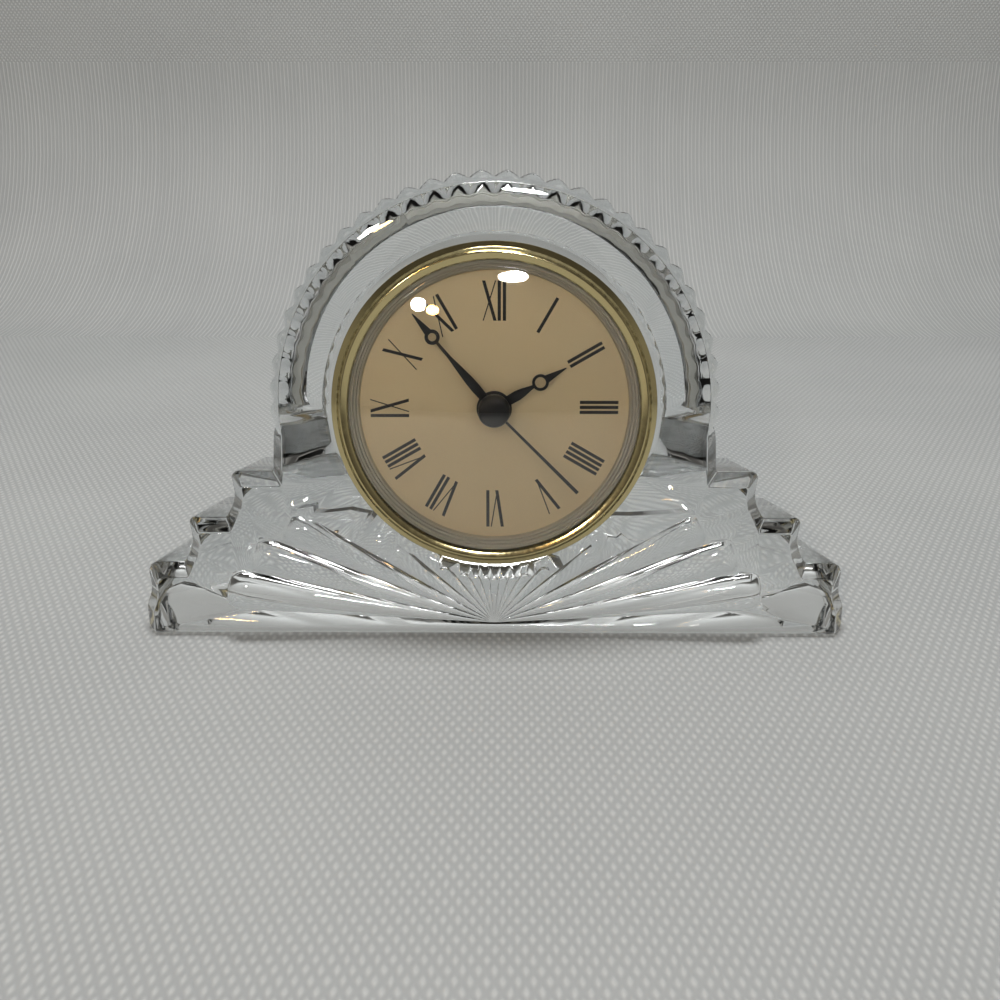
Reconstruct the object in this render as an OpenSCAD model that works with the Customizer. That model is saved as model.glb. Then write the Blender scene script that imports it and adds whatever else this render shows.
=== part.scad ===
// Crystal desk clock: a pressed glass body that leans back, with a round
// quartz insert pushed into a bore from the front.
// Millimetres, +Z up, the front faces -Y. The origin is the middle of the
// flat underside that the clock stands on.

/* [Crystal body] */
// Width across the lowest step
body_w = 194.4; // [190:0.2:220]
// Height of the dial centre above the base, measured up the leaning face
dial_h = 63.5; // [61:0.5:72]
// Angle by which the front face leans back from upright
lean = 7.6; // [4:0.2:11]
// Depth at table height, from the foot of the face to the back
base_depth = 38; // [36:0.5:48]
// Radius of the arch at the valleys between its ribs
arch_r = 58; // [56:0.5:62]
// How far the ribs and the side columns stand out beyond those valleys
rib_h = 1.8; // [1:0.1:3]
// Number of V ribs round the arch
ribs = 31; // [15:2:35]
// Angle by which the ribs run on below the level of the dial centre
rib_run = 7.9; // [0:0.1:9]
// Inward taper of the arch from the front bevel to the back bevel
arch_taper = 2.8; // [1:0.1:4]
// How far the centre of the arch sinks over the same depth
arch_sink = 2; // [0:0.1:3]
// Height of the ribs where they meet the back bevel
rib_end = 1; // [0.4:0.1:2]
// Width of the bevel round the back of the arch
arch_back_w = 3.4; // [1:0.1:4]
// Depth of that bevel
arch_back_d = 4.5; // [1:0.1:6]
// Height of one step riser
riser_h = 12.75; // [10:0.05:14]
// Height of the lowest block, from the table to its tread
block_h = 20; // [16:0.5:23]
// Distance from the nose of one tread to the next
tread_w = 12.4; // [10:0.1:13]
// How far each riser is hollowed in under its nose
waist = 1.1; // [0.4:0.1:2]
// How far the foot of each riser flares out past its nose
flare = 1.7; // [0.5:0.1:2.5]
// Depth of the hollow round the ends of the lowest block
end_waist = 1.8; // [0.6:0.1:2.4]
// Width of the bevel round the front face
bevel_w = 3.3; // [2:0.1:4]
// Depth of that bevel, front to back
bevel_d = 4.8; // [3:0.1:6]
// Radius of the front edge of the foot, where the glass meets the table
foot_round = 2.2; // [1:0.1:3]
// Inward draft of the outline from the front edge to the back edge
draft = 1.6; // [0.4:0.1:3]
// Width of the small bevel round the back edge
back_bevel = 1; // [0.4:0.1:2]

/* [Fan] */
// Angle between the foot of the lowest petal and the horizontal
fan_start = 3; // [2:0.2:8]
// Angle that each of the three long petals takes up on a side
long_angle = 9.3; // [7:0.1:10]
// Number of short petals between the long ones
short_petals = 11; // [7:2:15]
// Height of the fan's centre above the base, up the face
fan_h = 4; // [3.6:0.1:6]
// Length of the lowest petal
petal_1 = 74; // [60:1:78]
// Length of the second petal
petal_2 = 69; // [55:1:72]
// Length of the third petal
petal_3 = 63; // [50:1:66]
// Length of the first short petal
petal_4 = 36; // [28:1:40]
// Rise of a petal above the face for each millimetre from the fan's centre
petal_rise = 0.045; // [0.01:0.001:0.06]

/* [Insert fit] */
// Radius of the bore through the glass
bore_r = 38.5; // [38.5:0.1:39.5]
// Radius of the shallow seat round the bezel
seat_r = 44.8; // [43.5:0.1:46]
// Depth of that seat
seat_d = 0.6; // [0.2:0.1:1.2]
// Running clearance of the rubber band in the bore
band_gap = 0.08; // [0.04:0.01:0.1]

/* [Insert] */
// Outer radius of the brass bezel
bezel_r = 42.5; // [41:0.1:43.2]
// Height of the bezel crest above its seat
bezel_h = 4.3; // [3.8:0.1:5]
// Radius of the opening in the bezel lip
bezel_open_r = 38.1; // [37.8:0.1:38.4]
// Radius of the lens
lens_r = 39.1; // [38.9:0.1:39.4]
// Thickness of the lens
lens_t = 1.5; // [1:0.1:2]
// Height of the lens crown above its seat
lens_crown = 6.4; // [6:0.1:8]
// Outer radius of the case cup
cup_r = 36.4; // [36.2:0.1:36.8]
// Wall of the case cup
cup_wall = 1.2; // [1:0.1:1.5]
// Depth of the case cup behind the dial
cup_depth = 18.4; // [18.2:0.1:19.5]
// Depth of the dial face below the bezel seat
dial_depth = 2; // [1.6:0.1:2.4]
// Thickness of the dial
dial_t = 0.6; // [0.4:0.1:0.8]

/* [Hands] */
// Length of the minute hand from its centre
minute_len = 32; // [26:0.5:33.5]
// Length of the hour hand from its centre
hour_len = 21.4; // [17:0.2:25]
// Length of the seconds hand from its centre
seconds_len = 31; // [24:0.5:33]
// Clockwise angle of the minute hand from twelve
minute_at = 319.6; // [0:0.2:360]
// Clockwise angle of the hour hand from twelve
hour_at = 60.4; // [0:0.2:360]
// Clockwise angle of the seconds hand from twelve
seconds_at = 135; // [0:0.2:360]
// Radius of the button over the middle of the hands
cap_r = 4.15; // [3.5:0.05:5]

/* [Train] */
// Radius of the seconds arbor
seconds_arbor_r = 0.55; // [0.45:0.05:0.6]
// Outer radius of the minute tube
minute_tube_r = 1.25; // [1.15:0.05:1.3]
// Outer radius of the hour tube
hour_tube_r = 1.9; // [1.75:0.05:2]
// Radius of the thin arbors
arbor_r = 0.45; // [0.35:0.05:0.5]
// Radius of the setting arbor
knob_arbor_r = 0.8; // [0.6:0.05:1]
// Radial running clearance of every arbor and tube
run_gap = 0.07; // [0.04:0.01:0.09]

/* [Battery] */
// Radius of the cell
cell_r = 6; // [5.6:0.05:6.1]
// Length of the cell body without its button
cell_len = 29; // [27:0.1:29.3]
// Length of the bay between its end walls
bay_len = 33; // [32.6:0.1:34]

/* [Hidden] */

$fn = 96;
eps = 0.01;
// Where the face meets the table, which puts the origin in the middle of
// the flat underside
face_y = -(base_depth + foot_round / cos(lean)) / 2;

// Places children on the leaning front face: X right, Y up the face and
// Z out of the glass, with the dial centre as the origin
module on_face() {
    translate([0, face_y + dial_h * sin(lean), dial_h * cos(lean)])
        rotate([90 - lean, 0, 0]) children();
}

// Places children on the bezel's seat, which is sunk into the face
module on_seat() {
    on_face() translate([0, 0, -seat_d]) children();
}

// CRYSTAL BODY
function inset_point(p, a, b, d) =
    let (u = (p - a) / norm(p - a), v = (b - p) / norm(b - p),
         nu = [-u[1], u[0]], nv = [-v[1], v[0]], m = nu + nv)
    p + m * d * 2 / (m * m);
// Points of a rounded corner at p between its neighbours a and b
function corner(p, a, b, r, n) =
    let (u = (a - p) / norm(a - p), v = (b - p) / norm(b - p),
         half = acos(u * v) / 2, t = r / tan(half),
         c = p + (u + v) / norm(u + v) * r / sin(half),
         s = p + u * t - c, e = p + v * t - c)
    [for (i = [0 : n]) let (w = s * (n - i) / n + e * i / n)
        c + w / norm(w) * r];

tip_r = arch_r + rib_h;
// Share of the bevel at which the ribs begin to show
rib_start = 1 - rib_h / bevel_w;
steps_h = block_h + 2 * riser_h;
end_x = body_w / 2;
// Top of the upright foot of the ends, above the table line at the back
foot_top = base_depth * sin(lean) + 2.4;
// Where the nose of tread i stands, counted from the lowest
function nose_x(i) = end_x - end_waist / 2 - i * tread_w;
function riser(x, low) = [
    [x + flare, low], [x - waist, low + riser_h * 0.42], [x, low + riser_h]];
// Sharp outline of the steps on the right, from the foot up to the column
function step_outline(foot, column) = concat(
    [[end_x, foot], [end_x, foot_top],
     [end_x - end_waist, foot_top + (block_h - foot_top) * 0.36], [nose_x(0), block_h]],
    riser(nose_x(1), block_h), riser(nose_x(2), block_h + riser_h),
    [[column, steps_h]]);
// Corner radii of those points round the flat face, and on the outer edge
face_rounds = [0.5, 3, 8, 2.5, 0.6, 8, 0.6, 0.6, 8, 0.6, 0.6];
edge_rounds = [1.2, 3, 8, 3, 1, 9, 1.6, 1, 9, 1.6, 0.9];
corner_points = 4;

// One side of the steps, inset by d except at the foot and at the column,
// and with the corners rounded by share k
function steps_side(d, k, foot, column) =
    let (c = column + d,
         s = concat([[0, foot - d]], step_outline(foot - d, c), [[c, dial_h]]),
         q = [for (i = [1 : len(s) - 2]) inset_point(s[i], s[i - 1], s[i + 1], d)],
         all = concat([[0, foot]], q, [[column, dial_h]]))
    [for (i = [1 : len(all) - 2])
        each corner(all[i], all[i - 1], all[i + 1],
                    face_rounds[i - 1] * (1 - k) + edge_rounds[i - 1] * k,
                    corner_points)];

rib_points = 6;
// Height of a rib at point i, as a share: round at its tip, sharp in the valley
function rib_share(i) =
    1 - pow(1 - abs((i % rib_points) / rib_points * 2 - 1), 1.35);
// The arch from right to left: ribs of height h on valleys of radius r, cut
// off at clip below their tips, round a centre that has sunk by sink
function arch_side(r, h, clip, sink) =
    [for (i = [0 : ribs * rib_points])
        let (a = (180 + 2 * rib_run) * i / (ribs * rib_points) - rib_run,
             q = r + min(h - clip, h * rib_share(i)))
        [q * cos(a), dial_h - sink + q * sin(a)]];
function mirrored(s) = [for (i = [len(s) - 1 : -1 : 0]) [-s[i][0], s[i][1]]];
// A whole outline, anticlockwise from the right end of the base
function outline(side, arch) = concat(side, arch, mirrored(side));

// Depth below the face at which a point v up the face meets the upright back
function back_depth(v) = (base_depth - v * sin(lean)) / cos(lean);
// How far the rounded front edge of the foot stands off the table
function foot_lift(depth) = depth >= foot_round ? 0
    : foot_round - sqrt(pow(foot_round, 2) - pow(foot_round - depth, 2));
// A ring on the bevel, at one depth behind the face
function front_ring(depth, clip) =
    let (foot = depth * tan(lean) + foot_lift(depth),
         side = steps_side(clip, 1 - clip / bevel_w, foot, tip_r - clip))
    [for (p = outline(side, arch_side(arch_r, rib_h, clip, 0))) [p[0], p[1], -depth]];
// A ring on the bevel round the upright back, its foot on the table: at share
// 0 where the bevel begins, and at share 1 on the back
back_r = arch_r - arch_taper;
function back_ring(share, cut) =
    let (short = back_bevel * (1 - share), clip = back_bevel * cut,
         arch_short = arch_back_d * (1 - share), arch_clip = arch_back_w * cut,
         foot = (base_depth - short * cos(lean)) * sin(lean),
         side = steps_side(draft + clip, 1, foot, back_r + rib_end - arch_clip),
         arch = arch_side(back_r, rib_end, arch_clip, arch_sink),
         ring = outline(side, arch),
         low = len(side) - corner_points - 1)
    [for (i = [0 : len(ring) - 1]) let (p = ring[i], on_arch = i >= low && i < len(ring) - low)
        [p[0], p[1], (on_arch ? arch_short : short) - back_depth(p[1])]];
function bevel_ring(share) = front_ring(bevel_d * share, bevel_w * (1 - share));

// Solid through a stack of rings that have the same number of points. Each
// end is closed by triangles round its point in ends, from which every edge
// of the ring can be seen
module loft(rings, ends) {
    n = len(rings[0]);
    last = len(rings) - 1;
    low = (last + 1) * n;
    polyhedron(
        points = concat([for (r = rings) each r], ends),
        faces = concat(
            [for (i = [0 : n - 1]) [low, (i + 1) % n, i]],
            [for (k = [0 : last - 1], i = [0 : n - 1]) let (j = (i + 1) % n)
                each [[k * n + i, k * n + j, (k + 1) * n + j],
                      [k * n + i, (k + 1) * n + j, (k + 1) * n + i]]],
            [for (i = [0 : n - 1]) [low + 1, last * n + i, last * n + (i + 1) % n]]),
        convexity = 10);
}

module body_block() {
    middle = block_h / 2;
    translate([0, -dial_h, 0])
        loft([
            front_ring(0, bevel_w * 1.06),
            front_ring(0.12, bevel_w * 0.985),
            bevel_ring(0.1), bevel_ring(0.25),
            bevel_ring(rib_start), bevel_ring(0.7), bevel_ring(0.92),
            front_ring(bevel_d, bevel_w * 0.01),
            front_ring(bevel_d * 1.1, 0),
            back_ring(0, 0), back_ring(0.4, 0.3), back_ring(1, 1)],
            [[0, middle, 0], [0, middle, -back_depth(middle)]]);
}

// FAN
// Long petals on each side
long_petals = 3;
petals = 2 * long_petals + short_petals;
long_end = fan_start + long_petals * long_angle;
short_angle = (180 - 2 * long_end) / short_petals;
// Direction of the valley in front of petal k, counted from the right
function valley(k) =
    k <= long_petals ? fan_start + k * long_angle
    : k >= petals - long_petals ? 180 - fan_start - (petals - k) * long_angle
    : long_end + (k - long_petals) * short_angle;
function petal_width(k) = valley(k + 1) - valley(k);
fan_clear_r = seat_r + 1.2;
fan_to_dial = dial_h - fan_h;
// Length of petal k, which also stays clear of the seat round the bezel
function petal_len(k) =
    let (j = min(k, petals - 1 - k), a = (valley(j) + valley(j + 1)) / 2,
         mid = fan_to_dial * sin(a), off = fan_to_dial * cos(a),
         free = off >= fan_clear_r ? petal_4
             : mid - sqrt(fan_clear_r * fan_clear_r - off * off))
    j == 0 ? petal_1 : j == 1 ? petal_2 : j == 2 ? petal_3 : min(free, petal_4);
petal_cols = [-1, -0.86, -0.6, -0.2, 0.2, 0.6, 0.86];
petal_rows = [0, 0.2, 0.45, 0.65, 0.79, 0.86, 0.91, 0.95, 0.98, 1];
hub_r = 2.2;
petal_sink = 0.5;
valley_z = 0.12;
// Height of a petal at share u across it and distance r along it
function petal_height(k, u, r, length) =
    let (cap = length * petal_width(k) * PI / 360, t = max(0, (r - length + cap) / cap),
         q = 1 - u * u - t * t)
    q > 0.002 ? valley_z + petal_rise * min(r, length - cap) * sqrt(q)
    : t > 0 ? -petal_sink : valley_z;
fan_cols = concat(
    [for (k = [0 : petals - 1], u = petal_cols) [k, u]], [[petals - 1, 1]]);
function fan_point(c, f) =
    let (k = c[0], u = c[1], length = petal_len(k), r = hub_r + f * (length - hub_r),
         a = valley(k) + petal_width(k) * (1 + u) / 2)
    [r * cos(a), r * sin(a), petal_height(k, u, r, length)];
// Petals round a low hub, with a flat underside inside the block
module fan() {
    rows = len(petal_rows);
    cols = len(fan_cols);
    floor_z = -petal_sink - 1;
    top = [for (c = fan_cols, f = petal_rows) fan_point(c, f)];
    low = [for (c = fan_cols) let (p = fan_point(c, 1)) [p[0], p[1], floor_z]];
    under = rows * cols;
    hub = under + cols;
    root = hub + 1;
    end = (cols - 1) * rows;
    polyhedron(points = concat(top, low, [[0, 0, valley_z], [0, 0, floor_z]]),
        faces = concat(
            [for (i = [0 : cols - 2], j = [0 : rows - 2])
                let (p = i * rows + j, q = p + rows)
                each [[p, q, q + 1], [p, q + 1, p + 1]]],
            [for (i = [0 : cols - 2]) let (p = i * rows, q = p + rows)
                each [[hub, q, p],
                      [p + rows - 1, q + rows - 1, under + i + 1],
                      [p + rows - 1, under + i + 1, under + i],
                      [root, under + i, under + i + 1]]],
            [for (j = [0 : rows - 2])
                each [[root, j, j + 1], [root, end + j + 1, end + j]]],
            [[root, hub, 0], [root, rows - 1, under],
             [root, end, hub], [root, under + cols - 1, end + rows - 1]]),
        convexity = 10);
}

module crystal_body() {
    color([0.86, 0.9, 0.9, 0.4]) on_face()
        difference() {
            union() {
                body_block();
                translate([0, fan_h - dial_h, 0]) fan();
            }
            translate([0, 0, -base_depth - 10]) cylinder(r = bore_r, h = base_depth + 20);
            translate([0, 0, -seat_d]) cylinder(r = seat_r, h = 10);
        }
}

// BEZEL, LENS AND DIAL
lens_seat = 2.05;
lip_z = lens_seat + 1.45;
module bezel_ring() {
    pocket_r = lens_r + 0.1;
    skirt_r = bore_r - 0.3;
    skirt_in = cup_r + 0.05;
    color([0.83, 0.69, 0.36]) on_seat() rotate_extrude() polygon([
        [skirt_in, -7], [skirt_r - 0.3, -7], [skirt_r, -6.6], [skirt_r, 0],
        [bezel_r, 0], [bezel_r, 0.7], [bezel_r - 0.3, 1.1],
        [bezel_r - 1.6, 1.75], [bezel_r - 1.85, 2.1], [bezel_r - 2, 3.2],
        [bezel_r - 2.3, bezel_h - 0.5], [bezel_r - 2.8, bezel_h - 0.12],
        [bezel_r - 3.4, bezel_h], [bezel_open_r + 0.3, bezel_h - 0.15],
        [bezel_open_r, bezel_h - 0.45], [bezel_open_r, lip_z],
        [pocket_r, lip_z], [pocket_r, lens_seat], [skirt_in + 1.3, lens_seat],
        [skirt_in + 1.3, -1.4], [skirt_in, -1.4]]);
}

lens_out_r = (lens_r * lens_r + pow(lens_crown - 1.1, 2)) / (2 * (lens_crown - 1.1));
module lens() {
    apex = lens_seat + lens_crown;
    color([0.9, 0.93, 0.95, 0.35]) on_seat()
        difference() {
            intersection() {
                translate([0, 0, lens_seat]) cylinder(r = lens_r, h = lens_crown + 1);
                translate([0, 0, apex - lens_out_r]) sphere(r = lens_out_r, $fn = 200);
            }
            translate([0, 0, apex - lens_out_r]) sphere(r = lens_out_r - lens_t, $fn = 200);
        }
}

module inner_ring() {
    foot = -dial_depth;
    top_r = cup_r + 1.25;
    color([0.72, 0.71, 0.67]) on_seat() rotate_extrude() polygon([
        [cup_r - 1.2, foot], [cup_r - 0.1, foot], [cup_r - 0.1, -1.3],
        [top_r, -1.3], [top_r, lens_seat], [top_r - 0.45, lens_seat],
        [top_r - 0.6, lens_seat - 0.7], [top_r - 1.1, lens_seat - 0.9],
        [top_r - 1.3, lens_seat - 1.7], [top_r - 1.8, lens_seat - 1.9],
        [top_r - 2, foot + 0.7], [cup_r - 1.1, foot + 0.4]]);
}

bush_r = 3;
module dial_plate() {
    color([0.85, 0.77, 0.6]) on_seat() translate([0, 0, -dial_depth - dial_t])
        difference() {
            cylinder(r = cup_r - 0.1, h = dial_t);
            translate([0, 0, -1]) cylinder(r = bush_r + 0.1, h = dial_t + 2);
        }
}

// CASE CUP
cup_front = -dial_depth - dial_t;
cup_back = cup_front - cup_depth;
bay_y = -18;
bay_w = 13;
bay_wall = 1;
cell_gap = 0.3;
bay_front = cup_back + 2 * cell_r + bay_wall + cell_gap + 0.1;
module bay_box(grow, front, back) {
    translate([-bay_len / 2 - grow, bay_y - bay_w / 2 - grow, back])
        cube([bay_len + 2 * grow, bay_w + 2 * grow, front - back]);
}
module case_cup() {
    inner_r = cup_r - cup_wall;
    floor_t = 1.5;
    ledge_z = front_z - front_t;
    color([0.16, 0.16, 0.17]) on_seat() difference() {
        union() {
            difference() {
                translate([0, 0, cup_back]) cylinder(r = cup_r, h = cup_depth);
                translate([0, 0, cup_back + floor_t]) cylinder(r = inner_r, h = cup_depth);
            }
            intersection() {
                translate([0, 0, cup_back]) cylinder(r = cup_r, h = cup_depth);
                bay_box(bay_wall, bay_front, cup_back);
            }
            translate([0, 0, cup_back]) difference() {
                cylinder(r = inner_r + eps, h = ledge_z - cup_back);
                translate([0, 0, floor_t]) cylinder(r = inner_r - 1.1, h = cup_depth);
                translate([-cup_r, -cup_r, -1]) cube([2 * cup_r, 2 * cup_r, 14.5]);
            }
        }
        bay_box(0, bay_front - bay_wall, cup_back - 1);
        translate([knob_at[0], knob_at[1], cup_back - 1])
            cylinder(r = knob_arbor_r + run_gap, h = 4);
    }
}

module rubber_band() {
    color([0.78, 0.78, 0.74]) on_seat() rotate_extrude() polygon([
        [cup_r, -9], [bore_r - band_gap - 0.5, -9], [bore_r - band_gap, -9.5],
        [bore_r - band_gap, -16.5], [bore_r - band_gap - 0.5, -17], [cup_r, -17]]);
}

// TRAIN LAYOUT
// Number of teeth on each wheel and pinion
rotor_pinion = 8;
step_teeth = 48;
step_pinion = 8;
seconds_teeth = 40;
seconds_pinion = 8;
third_teeth = 64;
third_pinion = 8;
centre_teeth = 60;
minute_teeth = 10;
motion_teeth = 30;
motion_pinion = 8;
hour_teeth = 32;
knob_teeth = 12;
// Modules of the meshing pairs
m_rotor = 0.25;
m_seconds = 0.3;
m_third = 0.3;
m_motion = 0.4;
third_dist = m_third * (third_teeth + seconds_pinion) / 2;
m_centre = 2 * third_dist / (centre_teeth + third_pinion);
motion_dist = m_motion * (motion_teeth + minute_teeth) / 2;
step_dist = m_seconds * (seconds_teeth + step_pinion) / 2;
rotor_dist = m_rotor * (step_teeth + rotor_pinion) / 2;
knob_dist = m_motion * (motion_teeth + knob_teeth) / 2;
third_at = [0, third_dist];
motion_at = [motion_dist, 0];
knob_at = [motion_dist + knob_dist, 0];
step_at = [-step_dist, 0];
rotor_at = [-step_dist - rotor_dist, 0];

// Levels in the movement, behind the bezel seat
front_z = cup_front - 0.1;
front_t = 1.3;
hour_z = front_z - front_t - 0.4;
minute_z = hour_z - 1.6;
centre_z = minute_z - 1.8;
third_z = centre_z - 1.6;
middle_z = third_z - 1.4;
middle_t = 0.8;
seconds_z = middle_z - middle_t - 0.4;
step_z = seconds_z - 1.4;
rear_z = step_z - 1.6;
rear_t = 1.2;
wheel_t = 0.8;

// Outline of a gear: every tooth has two root and two tip points
module gear(teeth, m, t, phase) {
    rp = m * teeth / 2;
    q = 90 / teeth;
    rotate(phase) linear_extrude(height = t) polygon([for (i = [0 : teeth - 1],
        s = [[-1.2, -1.15], [-0.32, 0.85], [0.32, 0.85], [1.2, -1.15]])
        let (a = 360 * i / teeth + s[0] * q * 0.95, r = rp + s[1] * m)
        [r * cos(a), r * sin(a)]]);
}
// Phase of a gear with b teeth that meshes, in direction dir, with a gear
// that has a teeth and the phase p
function mesh(p, a, dir, b) = dir + 180 + 180 / b - (p - dir) * a / b;

third_phase = mesh(0, seconds_pinion, 90, third_teeth);
third_pinion_phase = mesh(0, centre_teeth, 90, third_pinion);
step_phase = mesh(0, seconds_teeth, 180, step_pinion);
rotor_phase = mesh(0, step_teeth, 180, rotor_pinion);
motion_phase = mesh(0, minute_teeth, 0, motion_teeth);
motion_pinion_phase = mesh(0, hour_teeth, 0, motion_pinion);
knob_phase = mesh(motion_phase, motion_teeth, 0, knob_teeth);

module tube(r, inner, from, to) {
    translate([0, 0, to]) difference() {
        cylinder(r = r, h = from - to);
        translate([0, 0, -1]) cylinder(r = inner, h = from - to + 2);
    }
}
module rod(r, from, to) {
    translate([0, 0, to]) cylinder(r = r, h = from - to);
}
module at(p, z = 0) { translate([p[0], p[1], z]) children(); }

// PLATES
post_at = [[31, 0], [-31, 0], [17, 26], [-17, 26]];
post_r = 2.4;
post_pin_r = 1.7;
// Radius of the screw threads and of the stud that the motion wheel turns on
screw_r = 0.6;
stud_r = 0.6;
module half_disc(r, t) {
    intersection() {
        cylinder(r = r, h = t);
        translate([-r, bay_y + bay_w / 2 + bay_wall + 0.3, -1]) cube([2 * r, 2 * r, t + 2]);
    }
}
module front_plate() {
    color([0.2, 0.2, 0.21]) on_seat() difference() {
        union() {
            translate([0, 0, front_z - front_t]) cylinder(r = cup_r - cup_wall - 0.1, h = front_t);
            rod(bush_r, -dial_depth + 0.6, front_z - front_t);
            for (p = post_at) at(p) {
                rod(post_r, front_z - front_t + eps, middle_z);
                rod(post_pin_r, middle_z + eps, rear_z);
            }
            at(motion_at) rod(stud_r, front_z - front_t + eps, minute_z - wheel_t - 0.3);
        }
        rod(hour_tube_r + run_gap, 0, front_z - front_t - 1);
        at(third_at) rod(arbor_r + run_gap, front_z - 0.6, front_z - front_t - 1);
        at(knob_at) rod(knob_arbor_r + run_gap, front_z - 0.6, front_z - front_t - 1);
        for (p = post_at) at(p) rod(screw_r, rear_z + 4, rear_z - 1);
    }
}
coil_at = [-24, 5.5];
coil_len = 17;
coil_r = 2.4;
module middle_plate() {
    color([0.86, 0.84, 0.78]) on_seat() difference() {
        translate([0, 0, middle_z - middle_t]) half_disc(cup_r - cup_wall - 1.3, middle_t);
        for (p = post_at) at(p) rod(post_pin_r + 0.05, middle_z + 1, middle_z - 2);
        rod(2.2, middle_z + 1, middle_z - 2);
        for (p = [third_at, step_at, rotor_at]) at(p) rod(arbor_r + run_gap, middle_z + 1, middle_z - 2);
        at(knob_at) rod(knob_arbor_r + run_gap, middle_z + 1, middle_z - 2);
        translate([coil_at[0] - coil_r - 0.5, coil_at[1] - coil_len / 2 - 0.5, middle_z - 2])
            cube([2 * coil_r + 1, coil_len + 1, 4]);
    }
}
module rear_plate() {
    color([0.86, 0.84, 0.78]) on_seat() difference() {
        translate([0, 0, rear_z - rear_t]) half_disc(cup_r - cup_wall - 1.3, rear_t);
        for (p = post_at) at(p) rod(screw_r + 0.1, rear_z + 1, rear_z - 2);
        rod(seconds_arbor_r + run_gap, rear_z + 1, rear_z - 2);
        for (p = [step_at, rotor_at]) at(p) rod(arbor_r + run_gap, rear_z + 1, rear_z - 2);
        at(knob_at) rod(knob_arbor_r + run_gap, rear_z + 1, rear_z - 2);
    }
}
module plate_screws() {
    color([0.75, 0.75, 0.75]) on_seat() for (p = post_at) at(p) difference() {
        union() {
            rod(1.3, rear_z - rear_t, rear_z - rear_t - 0.8);
            rod(screw_r, rear_z + 3.5, rear_z - rear_t - eps);
        }
        translate([-0.15, -2, rear_z - rear_t - 1.2]) cube([0.3, 4, 0.8]);
    }
}

// ELECTRICS
board_z = rear_z + 1.4;
board_t = 0.8;
board_y = 8;
board_h = 13;
oscillator_r = 1;
module circuit_board() {
    color([0.1, 0.35, 0.2]) on_seat() union() {
        translate([7, board_y, board_z]) cube([17, board_h, board_t]);
        at([18, 16]) rod(2.2, board_z + eps, board_z - 0.9);
    }
}
module oscillator_can() {
    color([0.8, 0.8, 0.82]) on_seat()
        translate([8.2, board_y + board_h + oscillator_r, board_z + board_t / 2])
            rotate([0, 90, 0]) cylinder(r = oscillator_r, h = 6);
}
module stator() {
    core_w = 2;
    z = seconds_z - wheel_t + 0.1;
    color([0.6, 0.6, 0.62]) on_seat() difference() {
        translate([0, 0, z]) linear_extrude(height = 0.8) polygon([
            [coil_at[0] - core_w, coil_at[1] - coil_len / 2 - 3],
            [rotor_at[0] + 1, rotor_at[1] - 5], [rotor_at[0] + 4.6, rotor_at[1] - 2],
            [rotor_at[0] + 4.6, rotor_at[1] + 2], [rotor_at[0] + 1, rotor_at[1] + 5],
            [coil_at[0] + core_w, coil_at[1] + coil_len / 2 + 3],
            [coil_at[0] - core_w, coil_at[1] + coil_len / 2 + 3]]);
        at(rotor_at) rod(3.4, z + 2, z - 1);
        translate([coil_at[0] + core_w / 2, coil_at[1] - coil_len / 2, z - 1])
            cube([coil_r + 1.4, coil_len, 3]);
        translate([coil_at[0] - coil_r - 2, coil_at[1] - coil_len / 2, z - 1])
            cube([coil_r + 2 - core_w / 2, coil_len, 3]);
    }
}
module coil() {
    core_w = 2.1;
    z = seconds_z - wheel_t + 0.5;
    flange = 0.8;
    color([0.72, 0.4, 0.2]) on_seat()
        translate([coil_at[0], coil_at[1] + coil_len / 2 - 0.1, z]) rotate([90, 0, 0]) difference() {
            union() {
                cylinder(r = coil_r - 0.4, h = coil_len - 0.2);
                cylinder(r = coil_r, h = flange);
                translate([0, 0, coil_len - 0.2 - flange]) cylinder(r = coil_r, h = flange);
            }
            translate([-core_w / 2, -0.45, -1]) cube([core_w, 0.9, coil_len + 2]);
        }
}

// WHEELS
module rotor() {
    color([0.3, 0.3, 0.33]) on_seat() at(rotor_at) union() {
        rod(arbor_r, middle_z - 0.1, rear_z - 0.9);
        rod(2.9, seconds_z + 0.2, seconds_z - wheel_t - 0.2);
        translate([0, 0, step_z - wheel_t - 0.2])
            gear(rotor_pinion, m_rotor, wheel_t + 0.4, rotor_phase);
    }
}
module step_wheel() {
    color([0.92, 0.9, 0.84]) on_seat() at(step_at) union() {
        rod(arbor_r, middle_z - 0.1, rear_z - 0.9);
        translate([0, 0, step_z - wheel_t]) gear(step_teeth, m_rotor, wheel_t, 0);
        translate([0, 0, seconds_z - wheel_t - 0.2])
            gear(step_pinion, m_seconds, wheel_t + 0.4, step_phase);
        rod(0.8, seconds_z, step_z - wheel_t);
    }
}
seconds_top = 2.8;
module seconds_wheel() {
    color([0.92, 0.9, 0.84]) on_seat() union() {
        rod(seconds_arbor_r, seconds_top, rear_z - 0.9);
        translate([0, 0, seconds_z - wheel_t]) gear(seconds_teeth, m_seconds, wheel_t, 0);
        translate([0, 0, third_z - wheel_t - 0.2])
            gear(seconds_pinion, m_third, wheel_t + 0.4, 0);
        rod(0.8, third_z, seconds_z - wheel_t);
    }
}
module third_wheel() {
    color([0.92, 0.9, 0.84]) on_seat() at(third_at) union() {
        rod(arbor_r, front_z - 0.7, middle_z - middle_t);
        translate([0, 0, third_z - wheel_t]) gear(third_teeth, m_third, wheel_t, third_phase);
        translate([0, 0, centre_z - wheel_t - 0.2])
            gear(third_pinion, m_centre, wheel_t + 0.4, third_pinion_phase);
        rod(0.8, centre_z, third_z - wheel_t);
    }
}
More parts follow.
